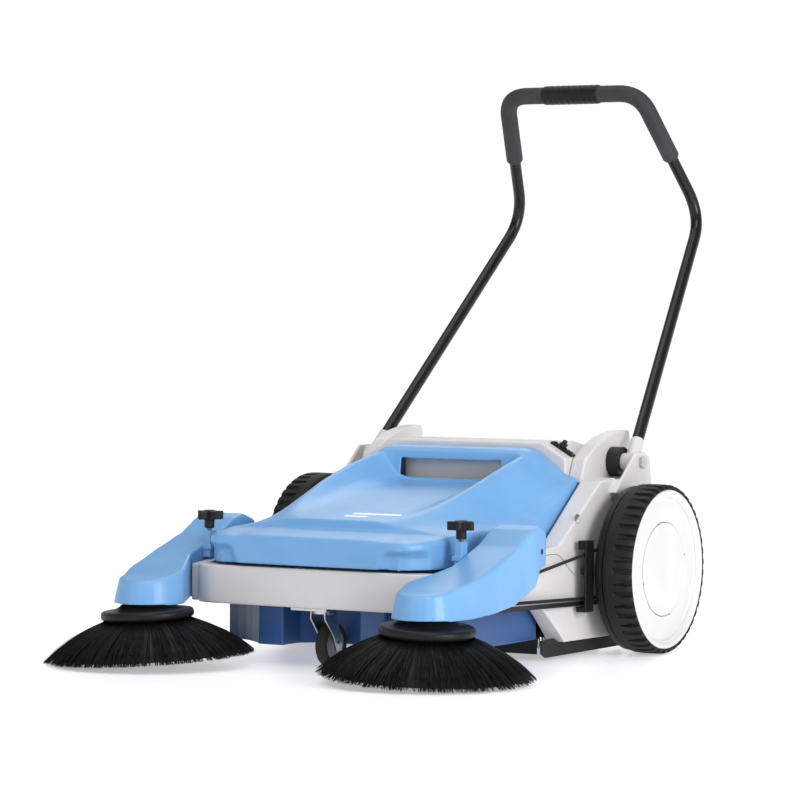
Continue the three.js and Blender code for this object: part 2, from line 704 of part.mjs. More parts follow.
function buildHandle() {
  const cuts = [ELBOW_CUT, CORNER_CUT, CORNER_CUT, ELBOW_CUT];
  add(machine, 'handle_tube', pipe(roundedLegs(handleCorners(), cuts), TUBE_R, 0, 6), BLACK);
  add(machine, 'handle_grip', pipe(handleGripPoints(), GRIP_R, TUBE_R + 3 * GAP, 5), RUBBER);
  const [, y, z] = HANDLE_CORNER;
  add(machine, 'grip_sleeve', turnedX(ringProfile(GRIP_R + GAP, GRIP_R + 2.3, -58, 58), 20, y, z), BLACK);
  for (const { name, mirror } of sides) {
    const side = new THREE.Group();
    side.scale.x = mirror;
    machine.add(side);
    add(side, `handle_socket_${name}`, handleSocket(), GREY);
    const hub = turnedX(ringProfile(BOLT_R + GAP, 27, ...HUB_X), 28, ...PIVOT);
    add(side, `handle_hub_${name}`, hub, BLACK);
  }
}

// ---- caster and height adjuster -----------------------------------------------
function casterFork() {
  const [x, y] = CASTER;
  const leg = [
    [y - 16, 98.9], [y + 18, 98.9], [y + 40, 42], [y + 38, 28], [y + 24, 26], [y + 12, 52], [y - 16, 84],
  ];
  const hole = [[y + CASTER_TRAIL, CASTER_R, 4 + GAP]];
  return rodZ(20, 92, 98.9, [x, y], 24).add(alongX(leg, 12.5, 15.5, hole))
    .add(alongX(leg, -15.5, -12.5, hole))
    .add(rodZ(6, 98.5, 99.2, [x, y], 12));
}

function buildCaster() {
  const centre = [CASTER[1] + CASTER_TRAIL, CASTER_R];
  add(machine, 'caster_fork', casterFork(), STEEL);
  add(machine, 'caster_axle', rodX(4, -18, 18, centre, 14), STEEL);
  add(machine, 'caster_wheel', turnedX([
    [4 + GAP, -11], [14, -11], [14, -7], [29, -7], [33, -11], [CASTER_R, -7], [CASTER_R, 7], [33, 11],
    [29, 7], [14, 7], [14, 11], [4 + GAP, 11],
  ], 20, ...centre), RUBBER);
}

function buildAdjuster() {
  const lift = GAP;
  const slope = Math.atan2(371 - 343, 204 - 155);
  const place = new THREE.Group();
  place.position.set(155, -30, 371);
  place.rotation.y = slope;
  machine.add(place);
  const rack = block(4, 52, -8, 8, lift, lift + 4);
  const teeth = Array.from({ length: 6 }, (_, i) => block(8 + i * 7, 11 + i * 7, -5, 5, lift + 3, lift + 6));
  add(place, 'adjuster_rack', teeth.reduce((all, tooth) => all.add(tooth), rack), BLACK);
  const lever = block(20, 30, -7, 7, 7, 12).add(block(22, 28, -4, 4, 11, 18));
  add(place, 'adjuster_lever', lever, BLACK);
}

buildChassis();
buildHopper();
buildRoller();
buildSides();
buildHandle();
buildCaster();
buildAdjuster();

export default sweeper;
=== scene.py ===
"""Looks of the walk-behind sweeper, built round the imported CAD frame. Metres, -Y is forward."""
import json
import math
import random

import bmesh
import bpy
from mathutils import Matrix, Vector


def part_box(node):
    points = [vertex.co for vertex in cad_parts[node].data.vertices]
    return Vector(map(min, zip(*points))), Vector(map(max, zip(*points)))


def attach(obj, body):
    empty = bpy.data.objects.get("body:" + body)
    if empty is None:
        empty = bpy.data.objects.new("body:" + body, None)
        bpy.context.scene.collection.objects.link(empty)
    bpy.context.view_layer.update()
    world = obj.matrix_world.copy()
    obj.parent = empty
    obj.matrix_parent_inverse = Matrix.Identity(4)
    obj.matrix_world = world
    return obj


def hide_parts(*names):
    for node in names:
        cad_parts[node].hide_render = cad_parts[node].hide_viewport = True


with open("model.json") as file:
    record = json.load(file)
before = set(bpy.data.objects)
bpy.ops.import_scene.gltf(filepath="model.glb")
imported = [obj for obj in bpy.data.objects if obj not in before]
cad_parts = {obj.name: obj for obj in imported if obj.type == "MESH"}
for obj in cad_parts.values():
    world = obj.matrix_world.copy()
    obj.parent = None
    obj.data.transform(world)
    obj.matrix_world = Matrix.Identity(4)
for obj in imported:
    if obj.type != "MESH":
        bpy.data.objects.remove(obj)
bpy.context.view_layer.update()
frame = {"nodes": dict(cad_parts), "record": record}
nodes = frame["nodes"]
joints = {j["name"]: j for j in frame["record"]["behaviour"]["joints"]}
SIDES = (("left", 1), ("right", -1))
MM = 0.001
MOST_OF_LEG = 0.45  # a rounded corner takes at most this share of the leg beside it


# ---- materials ----------------------------------------------------------------
def material(name, rough, metal=0.0, specular=0.5):
    mat = bpy.data.materials.new(name)
    mat.use_nodes = True
    tree = mat.node_tree
    shader = tree.nodes["Principled BSDF"]
    shader.inputs["Roughness"].default_value = rough
    shader.inputs["Metallic"].default_value = metal
    shader.inputs["Specular IOR Level"].default_value = specular
    return mat, tree, shader


def place(tree, stretch=(1, 1, 1)):
    coords = tree.nodes.new("ShaderNodeTexCoord")
    mapping = tree.nodes.new("ShaderNodeMapping")
    mapping.inputs["Scale"].default_value = stretch
    tree.links.new(coords.outputs["Object"], mapping.inputs["Vector"])
    return mapping.outputs["Vector"]


def noise(tree, where, scale, detail=3.0, rough=0.55):
    node = tree.nodes.new("ShaderNodeTexNoise")
    node.inputs["Scale"].default_value = scale
    node.inputs["Detail"].default_value = detail
    node.inputs["Roughness"].default_value = rough
    tree.links.new(where, node.inputs["Vector"])
    return node.outputs["Fac"]


def ramp(tree, value, low, high, start=0.3, end=0.7):
    node = tree.nodes.new("ShaderNodeValToRGB")
    node.color_ramp.elements[0].position = start
    node.color_ramp.elements[1].position = end
    node.color_ramp.elements[0].color = (*low, 1)
    node.color_ramp.elements[1].color = (*high, 1)
    tree.links.new(value, node.inputs["Fac"])
    return node.outputs["Color"]


def spread(tree, value, low, high):
    node = tree.nodes.new("ShaderNodeMapRange")
    node.inputs["To Min"].default_value = low
    node.inputs["To Max"].default_value = high
    tree.links.new(value, node.inputs["Value"])
    return node.outputs["Result"]


def bump(tree, shader, heights):
    """Chains (height, strength, distance) bumps into the shader's normal."""
    last = None
    for height, strength, distance in heights:
        node = tree.nodes.new("ShaderNodeBump")
        node.inputs["Strength"].default_value = strength
        node.inputs["Distance"].default_value = distance
        tree.links.new(height, node.inputs["Height"])
        if last:
            tree.links.new(last, node.inputs["Normal"])
        last = node.outputs["Normal"]
    tree.links.new(last, shader.inputs["Normal"])


def moulded(name, low, high, rough=0.38, grain=900, depth=0.25, specular=0.5):
    """Moulded plastic: cloudy colour, fine spark-eroded grain, uneven gloss, scuffed edges."""
    mat, tree, shader = material(name, rough, specular=specular)
    where = place(tree)
    cloud = noise(tree, where, 9, 4)
    colour = ramp(tree, cloud, low, high)
    edge = tree.nodes.new("ShaderNodeNewGeometry")
    wear = ramp(tree, edge.outputs["Pointiness"], (0, 0, 0), (1, 1, 1), 0.52, 0.6)
    mix = tree.nodes.new("ShaderNodeMix")
    mix.data_type = "RGBA"
    lighter = tuple(min(1, c * 1.15 + 0.003) for c in high)
    mix.inputs["B"].default_value = (*lighter, 1)
    tree.links.new(colour, mix.inputs["A"])
    tree.links.new(wear, mix.inputs["Factor"])
    tree.links.new(mix.outputs["Result"], shader.inputs["Base Color"])
    tree.links.new(spread(tree, noise(tree, where, 35, 5), rough - 0.06, rough + 0.1),
                   shader.inputs["Roughness"])
    bump(tree, shader, [(noise(tree, where, grain, 2), depth, 0.00006),
                        (noise(tree, where, 14, 2), 0.12, 0.0008)])
    return mat


def metal(name, low, high, rough, stretch=(1, 1, 1), scale=300):
    mat, tree, shader = material(name, rough, metal=1.0)
    where = place(tree, stretch)
    streaks = noise(tree, where, scale, 4)
    tree.links.new(ramp(tree, streaks, low, high), shader.inputs["Base Color"])
    tree.links.new(spread(tree, noise(tree, where, scale * 0.4, 5), rough - 0.08, rough + 0.15),
                   shader.inputs["Roughness"])
    bump(tree, shader, [(streaks, 0.15, 0.0001)])
    return mat


def rubber(name, low, high, rough=0.7, grain=500):
    mat, tree, shader = material(name, rough, specular=0.25)
    where = place(tree)
    dust = noise(tree, where, 18, 6, 0.7)
    tree.links.new(ramp(tree, dust, low, high, 0.4, 0.85), shader.inputs["Base Color"])
    tree.links.new(spread(tree, dust, rough - 0.1, rough + 0.15), shader.inputs["Roughness"])
    bump(tree, shader, [(noise(tree, where, grain, 3), 0.4, 0.0002)])
    return mat


def filament(name, low, high):
    mat, tree, shader = material(name, 0.42, specular=0.2)
    where = place(tree)
    tree.links.new(ramp(tree, noise(tree, where, 260, 3), low, high, 0.45, 0.8),
                   shader.inputs["Base Color"])
    tree.links.new(spread(tree, noise(tree, where, 700, 2), 0.3, 0.6), shader.inputs["Roughness"])
    bump(tree, shader, [(noise(tree, where, 1800, 2), 0.3, 0.0001)])
    return mat


def floor_material():
    mat, tree, shader = material("studio_floor", 0.3, specular=0.35)
    where = place(tree)
    tree.links.new(ramp(tree, noise(tree, where, 2, 2), (0.88, 0.88, 0.89), (0.9, 0.9, 0.91)),
                   shader.inputs["Base Color"])
    shader.inputs["Emission Color"].default_value = (1, 1, 1, 1)
    shader.inputs["Emission Strength"].default_value = 0.40
    return mat


BLUE = moulded("blue_plastic", (0.15, 0.37, 0.68), (0.18, 0.41, 0.73), 0.36)
# Darker copy of the blue plastic: painted shade for the hopper, which is the hood's own blue
# sitting under the front bar.
SHADED_BLUE = moulded("blue_plastic_painted_shade", (0.025, 0.085, 0.26), (0.035, 0.105, 0.30), 0.4)
GREY = moulded("grey_plastic", (0.61, 0.595, 0.60), (0.67, 0.655, 0.655), 0.42)
DARK = moulded("dark_grey_plastic", (0.16, 0.16, 0.165), (0.21, 0.21, 0.215), 0.5)
WHITE = moulded("white_plastic", (0.66, 0.655, 0.65), (0.72, 0.715, 0.71), 0.36)
BLACK = moulded("black_plastic", (0.007, 0.007, 0.008), (0.013, 0.013, 0.014), 0.38,
                specular=0.22)
PAINT = moulded("black_painted_tube", (0.004, 0.004, 0.005), (0.008, 0.008, 0.009), 0.2, 500, 0.1,
                specular=0.32)
GRIP = rubber("soft_grip", (0.035, 0.035, 0.037), (0.06, 0.06, 0.062), 0.62, 1600)
TYRE = rubber("tyre_rubber", (0.012, 0.0115, 0.0105), (0.028, 0.026, 0.024), 0.6, 700)
RUBBER = rubber("rubber", (0.016, 0.016, 0.016), (0.03, 0.03, 0.03), 0.6)
STEEL = metal("zinc_steel", (0.45, 0.45, 0.46), (0.68, 0.68, 0.7), 0.3)
BRISTLE = filament("black_bristle", (0.003, 0.003, 0.003), (0.016, 0.016, 0.016))
MARK = moulded("panel_mark", (0.8, 0.81, 0.83), (0.88, 0.88, 0.9), 0.4)
BY_SLOT = {
    "blue_plastic": BLUE, "grey_plastic": GREY, "dark_grey_plastic": DARK, "white_plastic": WHITE,
    "black_plastic": BLACK, "black_painted_tube": PAINT, "soft_grip": GRIP, "tyre_rubber": TYRE,
    "rubber": RUBBER, "zinc_steel": STEEL, "black_bristle": BRISTLE,
}


# ---- mesh helpers -------------------------------------------------------------
def new_piece(name, verts, faces, mat, body, replaced=(), sharp=40):
    mesh = bpy.data.meshes.new(name)
    mesh.from_pydata([tuple(v) for v in verts], [], faces)
    mesh.update()
    return finish_piece(name, mesh, mat, body, replaced, sharp)


def finish_piece(name, mesh, mat, body, replaced=(), sharp=40):
    bm = bmesh.new()
    bm.from_mesh(mesh)
    bmesh.ops.recalc_face_normals(bm, faces=bm.faces)
    bm.to_mesh(mesh)
    bm.free()
    piece = bpy.data.objects.new(name, mesh)
    bpy.context.scene.collection.objects.link(piece)
    piece.data.materials.append(mat)
    mesh.shade_smooth()
    mesh.set_sharp_from_angle(angle=math.radians(sharp))
    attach(piece, body)
    if replaced:
        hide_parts(*replaced)
    return piece


def ring_faces(rows, columns, close_rows=False, close_columns=True):
    faces = []
    for i in range(rows if close_rows else rows - 1):
        for k in range(columns if close_columns else columns - 1):
            a, b = i * columns + k, i * columns + (k + 1) % columns
            c = ((i + 1) % rows) * columns + (k + 1) % columns
            d = ((i + 1) % rows) * columns + k
            faces.append((a, b, c, d))
    return faces


def corner_arc(before, p, after, cut, steps):
    """Points of the curve that replaces corner p, starting and ending cut away from it."""
    a = p + (before - p).normalized() * cut
    b = p + (after - p).normalized() * cut
    curve = []
    for s in range(steps + 1):
        t = s / steps
        curve.append(a * (1 - t) ** 2 + p * 2 * t * (1 - t) + b * t * t)
    return curve


def rounded(points, cut, steps=3, closed=True):
    """Polyline with its corners rounded; cut is the most that is taken off each leg."""
    out = []
    count = len(points)
    pts = [Vector(p) for p in points]
    for i, p in enumerate(pts):
        if not closed and i in (0, count - 1):
            out.append(p)
            continue
        before, after = pts[i - 1], pts[(i + 1) % count]
        fits = min(cut, (before - p).length * MOST_OF_LEG, (after - p).length * MOST_OF_LEG)
        out += corner_arc(before, p, after, fits, steps)
    return out


def turned(name, profile, segments, centre, axis, mat, body, replaced=(), cut=1.2):
    """Closed (radius, distance) profile in millimetres, turned about an axis through centre."""
    pts = rounded([(r, a, 0) for r, a in profile], cut)
    verts = []
    turn = Vector((0, 0, 1)).rotation_difference(Vector(axis)).to_matrix()
    for p in pts:
        for k in range(segments):
            angle = 2 * math.pi * k / segments
            local = Vector((p.x * math.cos(angle), p.x * math.sin(angle), p.y)) * MM
            verts.append(Vector(centre) + turn @ local)
    return new_piece(name, verts, ring_faces(len(pts), segments, True), mat, body, replaced)


def sweep(points, radii, sides):
    """Tube through points: vertices and side faces. The caller closes the two ends."""
    verts = []
    normal = None
    for i, p in enumerate(points):
        tangent = (points[min(i + 1, len(points) - 1)] - points[max(i - 1, 0)]).normalized()
        if normal is None:
            normal = tangent.orthogonal().normalized()
        normal = (normal - tangent * normal.dot(tangent)).normalized()
        side = tangent.cross(normal)
        for k in range(sides):
            angle = 2 * math.pi * k / sides
            verts.append(p + (normal * math.cos(angle) + side * math.sin(angle)) * radii[i])
    return verts, ring_faces(len(points), sides)


def tube_piece(name, points, radii, mat, body, replaced=(), sides=24):
    verts, faces = sweep(points, radii, sides)
    last = (len(points) - 1) * sides
    faces.append(tuple(range(sides)))
    faces.append(tuple(last + k for k in reversed(range(sides))))
    return new_piece(name, verts, faces, mat, body, replaced)


def centre_of(node):
    low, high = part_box(node)
    return (low + high) / 2


def softened(node, mat, body, slot, voxel, passes, keep):
    """A copy of the CAD solid with moulded, rounded edges takes its place."""
    mesh = nodes[node].data.copy()
    piece = finish_piece(f"{node}_moulding", mesh, mat, body, (node,), 60)
    piece.data.materials.clear()
    piece.data.materials.append(mat)
    mould(piece, voxel, passes, keep)


def mould(piece, voxel, passes, keep):
    """Bakes a voxel remesh, smoothing and thinning into the piece's own mesh."""
    remesh = piece.modifiers.new("remesh", "REMESH")
    remesh.mode = "VOXEL"
    remesh.voxel_size = voxel
    remesh.use_smooth_shade = True
    smooth = piece.modifiers.new("smooth", "SMOOTH")
    smooth.factor = 0.5
    smooth.iterations = passes
    thin = piece.modifiers.new("thin", "DECIMATE")
    thin.ratio = keep
    depsgraph = bpy.context.evaluated_depsgraph_get()
    baked = bpy.data.meshes.new_from_object(piece.evaluated_get(depsgraph))
    piece.modifiers.clear()
    piece.data = baked
    piece.data.shade_smooth()


# ---- camera, light and floor --------------------------------------------------
def camera():
    """The camera of the main picture: its place, direction, roll and lens."""
    azimuth, elevation, roll = math.radians(30.836), math.radians(1.532), math.radians(0.38)
    s, c = math.sin(azimuth), math.cos(azimuth)
    se, ce = math.sin(elevation), math.cos(elevation)
    forward = Vector((-s * ce, c * ce, -se))
    right0, up0 = Vector((c, s, 0)), Vector((-s * se, c * se, ce))
    right = right0 * math.cos(roll) + up0 * math.sin(roll)
    up = up0 * math.cos(roll) - right0 * math.sin(roll)
    data = bpy.data.cameras.new("camera")
    data.lens = 159.0
    data.sensor_width = 36.0
    data.shift_x = 0.0210
    data.shift_y = 0.0033
    data.clip_end = 60
    eye = bpy.data.objects.new("camera", data)
    place_at = Matrix((right, up, -forward)).transposed().to_4x4()
    place_at.translation = (3.1421, -5.4386, 0.6088)
    eye.matrix_world = place_at
    bpy.context.scene.collection.objects.link(eye)
    bpy.context.scene.camera = eye


def area_light(name, where, aim, size, power, tint=(1, 1, 1)):
    data = bpy.data.lights.new(name, "AREA")
    data.shape = "RECTANGLE"
    data.size, data.size_y = size
    data.energy = power
    data.color = tint
    lamp = bpy.data.objects.new(name, data)
    lamp.location = where
    lamp.rotation_euler = (Vector(aim) - Vector(where)).to_track_quat("-Z", "Y").to_euler()
    bpy.context.scene.collection.objects.link(lamp)


def sky():
    """White round the horizon and dimmer overhead, so that dark parts stay dark."""
    world = bpy.data.worlds.new("world")
    bpy.context.scene.world = world
    world.use_nodes = True
    tree = world.node_tree
    coords = tree.nodes.new("ShaderNodeTexCoord")
    split = tree.nodes.new("ShaderNodeSeparateXYZ")
    tree.links.new(coords.outputs["Generated"], split.inputs["Vector"])
    shade = tree.nodes.new("ShaderNodeValToRGB")
    shade.color_ramp.elements[0].position = 0.16
    shade.color_ramp.elements[0].color = (1, 1, 1, 1)
    shade.color_ramp.elements[1].position = 0.34
    shade.color_ramp.elements[1].color = (0.3, 0.3, 0.31, 1)
    tree.links.new(split.outputs["Z"], shade.inputs["Fac"])
    back = tree.nodes["Background"]
    tree.links.new(shade.outputs["Color"], back.inputs["Color"])
    back.inputs["Strength"].default_value = 1.02


def studio():
    size = 14.0
    verts = [(-size, -size, 0), (size, -size, 0), (size, size, 0), (-size, size, 0)]
    mesh = bpy.data.meshes.new("floor")
    mesh.from_pydata(verts, [], [(0, 1, 2, 3)])
    floor = bpy.data.objects.new("floor", mesh)
    bpy.context.scene.collection.objects.link(floor)
    floor.data.materials.append(floor_material())
    sky()
    area_light("key", (4.3, -1.3, 1.5), (0.2, -0.1, 0.3), (2.2, 1.8), 105)
    area_light("fill", (-1.0, -4.2, 2.4), (0, 0, 0.3), (2.4, 1.8), 14)
    area_light("top", (-0.6, 0.4, 3.8), (0, 0, 0), (2.6, 2.6), 36)
    area_light("back", (-1.6, 3.4, 2.6), (0, 0, 0.4), (2.2, 1.4), 24)
    sun = bpy.data.lights.new("sun", "SUN")
    sun.energy = 0.7
    sun.angle = math.radians(25)
    lamp = bpy.data.objects.new("sun", sun)
    lamp.rotation_euler = (math.radians(28), math.radians(22), 0)
    bpy.context.scene.collection.objects.link(lamp)
    bpy.context.scene.view_settings.view_transform = "Standard"


# ---- wheels -------------------------------------------------------------------
LUGS = 46
INNER_HALF = 352  # odd lugs reach across the tyre's inner half only


def tyre(name, mirror, centre):
    body = f"wheel_{name}"
    profile = [  # distance along the axle, radius on a lug, radius in a groove
        (320, 129, 129), (320, 143, 143), (321, 146, 146), (323.5, 148.6, 148.6),
        (327, 149.6, 149.6), (331, 149.8, 149.8), (341, 150, 149.8), (343, 150, 145),
        (362, 150, 144.4), (368, 149.8, 144),
        (372, 149, 143.6), (375.4, 147, 143), (377, 144.4, 142.6), (377, 141.7, 141.7),
        (370, 141.6, 141.6), (370, 129, 129),
    ]
    marks = [(0.0, 0), (0.06, 1), (0.52, 1), (0.58, 0), (0.79, 0)]
    verts = []
    for x, on_lug, in_groove in profile:
        for lug in range(LUGS):
            short = lug % 2 == 1 and x < INNER_HALF
            for turn, is_lug in marks:
                r = on_lug if is_lug or short else in_groove
                angle = 2 * math.pi * (lug + turn) / LUGS
                verts.append(Vector((mirror * x * MM, centre.y + r * MM * math.cos(angle),
                                     centre.z + r * MM * math.sin(angle))))
    faces = ring_faces(len(profile), LUGS * len(marks), True)
    return new_piece(f"lugged_tyre_{name}", verts, faces, TYRE, body,
                     (f"tyre_{name}",), 28)


def wheel(name, mirror):
    centre = centre_of(f"tyre_{name}")
    hub = Vector((0, centre.y, centre.z))
    axis = (mirror, 0, 0)
    body = f"wheel_{name}"
    tyre(name, mirror, centre)
    turned(f"wheel_disc_{name}", [
        (10.3, 352), (118, 342), (128, 328), (128, 370.4), (141, 370.4), (141, 375.6),
        (137.5, 376.6), (134, 375.5), (125.5, 364.5), (121, 364), (84.2, 368.4), (83.8, 366),
        (83.2, 363), (10.3, 363),
    ], 128, hub, axis, WHITE, body, (f"wheel_rim_{name}",), 1.6)
    turned(f"hub_cap_shell_{name}", [
        (0.2, 364), (82.4, 364), (82.6, 369), (80, 369.4), (40, 371.2), (0.2, 371.6),
    ], 96, hub, axis, WHITE, body, (f"hub_cap_{name}",), 0.8)
    # Dark ring at the bottom of the gap round the hub cap: painted shade for the gap.
    turned(f"cap_gap_painted_shade_{name}", [(82.5, 364.6), (84.1, 364.6), (84.1, 366.6), (82.5, 366.6)],
           128, hub, axis, DARK, body, cut=0.1)
    for i in range(4):
        angle = math.radians(15 + 90 * i)
        spot = hub + Vector((mirror * 0.3688, 0.0833 * math.cos(angle), 0.0833 * math.sin(angle)))
        turned(f"cap_dot_{name}_{i}", [(0.1, -1), (1.9, -1), (1.9, 0.6), (0.1, 0.8)], 12,
               spot, axis, DARK, body, cut=0.3)
    turned(f"inner_drum_{name}", [
        (10.3, 256), (22, 256), (22, 283.6), (55, 284), (55, 286.4), (46.4, 288), (46.4, 294),
        (55, 295.6), (55, 298), (30, 298), (30, 303), (139, 303), (146, 308.5), (146, 319.6),
        (142, 319.6), (142, 309), (30, 309), (30, 339.6), (10.3, 339.6),
    ], 96, hub, axis, BLACK, body, (f"wheel_drum_{name}",), 1.5)


# ---- bristles -----------------------------------------------------------------
BRUSH_R, ROOT_Z = 180.5, -40.5  # millimetres, in the brush's own frame
CORE_R = 0.0452


def strands(lines, radius, sides=3):
    """Many thin tubes joined into one mesh; each line is a list of points."""
    verts, faces = [], []
    for line in lines:
        count = len(line)
        radii = [radius * (1 if i < count - 1 else 0.55) for i in range(count)]
        v, f = sweep(line, radii, sides)
        base = len(verts)
        verts += v
        faces += [tuple(i + base for i in face) for face in f]
        faces.append(tuple(base + k for k in range(sides)))
        faces.append(tuple(base + (count - 1) * sides + k for k in reversed(range(sides))))
    return verts, faces


def side_brush(name, mirror):
    """Bristle cone with its dark core, moulded plate and the pulley that drives it."""
    joint = joints[f"side_brush_spin_{name}"]
    centre, axis = Vector(joint["pos_m"]), Vector(joint["axis"])
    turn = Vector((0, 0, 1)).rotation_difference(axis).to_matrix()
    rng = random.Random(17 if mirror > 0 else 23)
    body = f"side_brush_{name}"
    lines = []
    tufts, per_tuft = 44, 62
    for tuft in range(tufts):
        lean = rng.uniform(-0.05, 0.05)
        for _ in range(per_tuft):
            depth = rng.random() ** 0.7
            root_angle = 2 * math.pi * (tuft + rng.uniform(-0.5, 0.5)) / tufts
            tip_angle = root_angle + lean + rng.gauss(0, 0.035)
            root_r = 54 + 19 * depth
            tip_r = min(138 + 42 * depth + rng.gauss(0, 2.2), BRUSH_R)
            tip_z = -107.2 + 2.2 * depth + abs(rng.gauss(0, 1.2))
            line = []
            for s in range(5):
                t = s / 4
                angle = root_angle + (tip_angle - root_angle) * t
                r = root_r + (tip_r - root_r) * (t + 0.07 * math.sin(math.pi * t))
                z = ROOT_Z + (tip_z - ROOT_Z) * (t - 0.05 * math.sin(math.pi * t))
                local = Vector((r * math.cos(angle), r * math.sin(angle), z)) * MM
                line.append(centre + turn @ local)
            lines.append(line)
    verts, faces = strands(lines, 0.62 * MM)
    new_piece(f"bristle_strands_{name}", verts, faces, BRISTLE, body,
              (f"brush_bristles_{name}",), 180)
    turned(f"bristle_core_{name}", [
        (52, -40), (70, -40), (104, -56), (146, -82), (166, -101), (120, -88), (70, -58),
    ], 96, centre, axis, BRISTLE, body, cut=3)
    turned(f"brush_plate_{name}", [
        (0.3, -36), (50, -36), (56, -40), (74, -40), (79, -37), (80, -30), (77, -24), (66, -23),
        (53, -20.5), (40, -12), (36, -9), (5.3, -9), (5.3, -14.3), (0.3, -14.3),
    ], 96, centre, axis, BLACK, body, (f"brush_hub_{name}",), 3)
    turned(f"brush_pulley_wheel_{name}", [
        (0.2, -14), (5, -14), (5, -7), (18, -7), (18, -5.8), (11.7, -5), (11.7, 5.2), (18, 6),
        (18, 7.6), (5, 7.6), (5, 20), (0.2, 20),
    ], 40, centre, axis, STEEL, body, (f"brush_pulley_{name}",), 0.5)


def roller():
    """Ten slightly helical rows of bristles round the roller's core."""
    centre = Vector(joints["roller_spin"]["pos_m"])
    rng = random.Random(5)
    lines = []
    rows, half, length = 10, 0.190, 0.125
    for row in range(rows):
        for i in range(420):
            x = rng.uniform(-half, half) * 0.998
            angle = 2 * math.pi * row / rows + 2.2 * abs(x) + rng.gauss(0, 0.05)
            reach = length - abs(rng.gauss(0, 0.0012))
            sway = rng.gauss(0, 0.03)
            line = []
            for s in range(3):
                r = CORE_R + (reach - CORE_R) * s / 2
                a = angle + sway * s / 2
                line.append(Vector((x, centre.y + r * math.cos(a), centre.z + r * math.sin(a))))
            lines.append(line)
    verts, faces = strands(lines, 0.75 * MM)
    new_piece("roller_strands", verts, faces, BRISTLE, "roller",
              ("roller_bristles",), 180)


# ---- hood ---------------------------------------------------------------------
# Stations from front to back: y, floor height, ridge x, ridge height, edge height, half width.
# Millimetres, y measured from the wheel axle.
HOOD_STATIONS = [
    (-606, 216, 118, 216, 213, 180),
    (-600, 223, 130, 223, 219, 195),
    (-575, 227, 140, 227, 222, 214),
    (-518, 233, 130, 233, 227, 222),
    (-508, 249, 120, 244, 229, 222),
    (-407, 265, 144, 273, 234, 222),
    (-297, 283, 154, 309, 236, 224),
    (-205, 291, 152, 336, 257, 230),
    (-124, 299, 144, 353, 293, 231),
    (-118, 351, 143, 355, 295, 231),
    (-104, 361, 142, 361, 300, 231),
    (-67.2, 362, 140, 362, 312, 231),
]
HOOD_FRONT, HOOD_REAR = -606, -67.2
FRONT_STEP, GRIP_WALL = -513, -121  # middles of the two steep steps
SLOT_FRONT, SLOT_BACK, SLOT_HALF_M = -123.3, -119.7, 0.1
FRONT_ROWS = 16
AXLE_Y = centre_of("axle_left").y


def station_at(y):
    for a, b in zip(HOOD_STATIONS, HOOD_STATIONS[1:]):
        if a[0] <= y <= b[0]:
            t = (y - a[0]) / (b[0] - a[0])
            return [p + (q - p) * t for p, q in zip(a, b)]
    return list(HOOD_STATIONS[-1] if y > HOOD_STATIONS[-1][0] else HOOD_STATIONS[0])


def smooth_station(y):
    """Station values averaged over a short window that closes up at the two steps."""
    near = min(abs(y - GRIP_WALL), abs(y - FRONT_STEP), abs(y - HOOD_REAR), abs(y - HOOD_FRONT))
    window = min(26.0, 0.45 * near)
    samples = [station_at(y + window * k / 4) for k in range(-4, 5)]
    return [sum(values) / len(samples) for values in zip(*samples)]


def hood_row(y):
    """One cross-section of the hood's outer skin, from right edge to left edge."""
    _, floor_z, ridge_x, ridge_z, edge_z, half = smooth_station(y)
    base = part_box("hood")[0].z / MM
    side = [
        (0, floor_z), (ridge_x - 36, floor_z), (ridge_x - 4, ridge_z - 0.5),
        (ridge_x + 8, ridge_z - 3),
        ((ridge_x + half - 24) / 2 + 3, edge_z + (ridge_z - edge_z) * 0.5), (half - 24, edge_z + 2),
        (half - 2, edge_z), (half, edge_z - 5), (half, base),
    ]
    line = [Vector((x, 0, z)) for x, z in side]
    dense = []
    for i, (a, b) in enumerate(zip(line, line[1:])):
        steps = (6, 4, 2, 4, 4, 3, 2, 6)[i]
        dense += [a.lerp(b, k / steps) for k in range(steps)]
    dense.append(line[-1])
    for _ in range(3):
        dense = [dense[0]] + [
            (dense[i - 1] + dense[i] * 2 + dense[i + 1]) / 4 for i in range(1, len(dense) - 1)
        ] + [dense[-1]]
    left = [Vector((-p.x, 0, p.z)) for p in reversed(dense[1:])]
    return [Vector((p.x, y, p.z)) for p in left + dense]


def eased(t):
    t = min(max(t, 0.0), 1.0)
    return t * t * (3 - 2 * t)


def scooped(p):
    """Hollows the finger scoops out of the two front corners of the hood, in millimetres."""
    start = 136 + (p.z - 180) * 0.35
    across, below, ahead = (abs(p.x) - start) / 26, (209 - p.z) / 13, (p.y + 585) / 30
    amount = 9 * eased(across) * eased(below) * (1 - eased(ahead))
    return Vector((p.x - math.copysign(amount * 0.6, p.x), p.y + amount, p.z))


